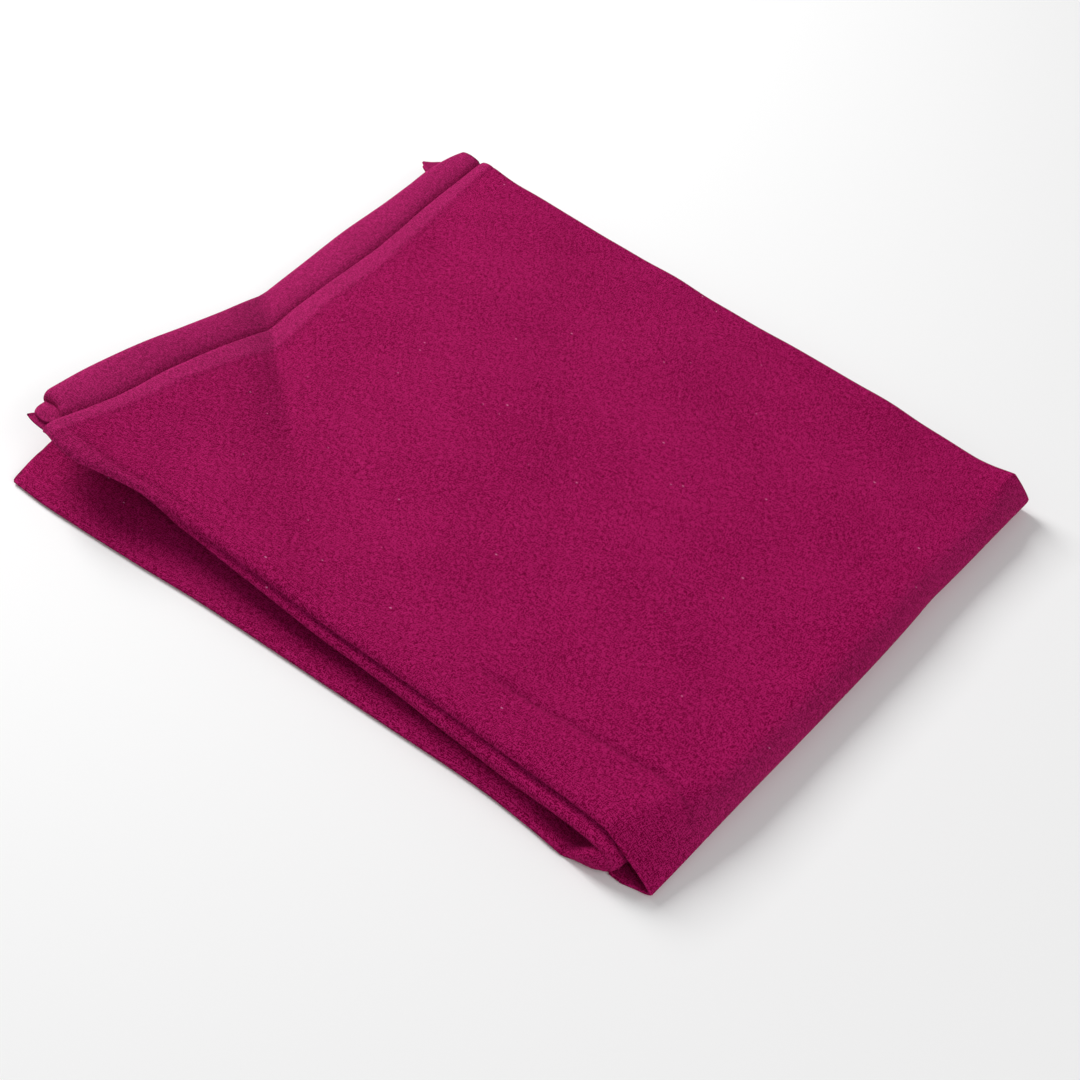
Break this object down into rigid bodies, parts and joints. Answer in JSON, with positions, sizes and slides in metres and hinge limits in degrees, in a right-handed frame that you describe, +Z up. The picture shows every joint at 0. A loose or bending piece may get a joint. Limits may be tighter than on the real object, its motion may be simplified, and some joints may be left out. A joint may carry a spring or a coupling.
{
  "type": "folded turban cloth",
  "caption": "Length of cotton turban cloth folded into a flat packet: nested layers round a spine fold, an open side with a flap on the ground and a lifted corner.",
  "frame": {"origin": "middle of the packet's box, on the ground it lies on", "axes": "+X along the long side towards the spine fold, +Y along the short side away from the open side with the flap, +Z up"},
  "size_m": [0.3234, 0.2842, 0.029],
  "materials": {
    "top_cloth": "matte plain-weave cotton, dyed magenta",
    "inner_cloth": "matte plain-weave cotton, dyed magenta",
    "core_cloth": "matte plain-weave cotton, dyed magenta"
  },
  "bodies": {
    "root": {"outer_fold": "top_cloth", "middle_fold": "inner_cloth", "core_fold": "core_cloth"}
  },
  "joints": []
}
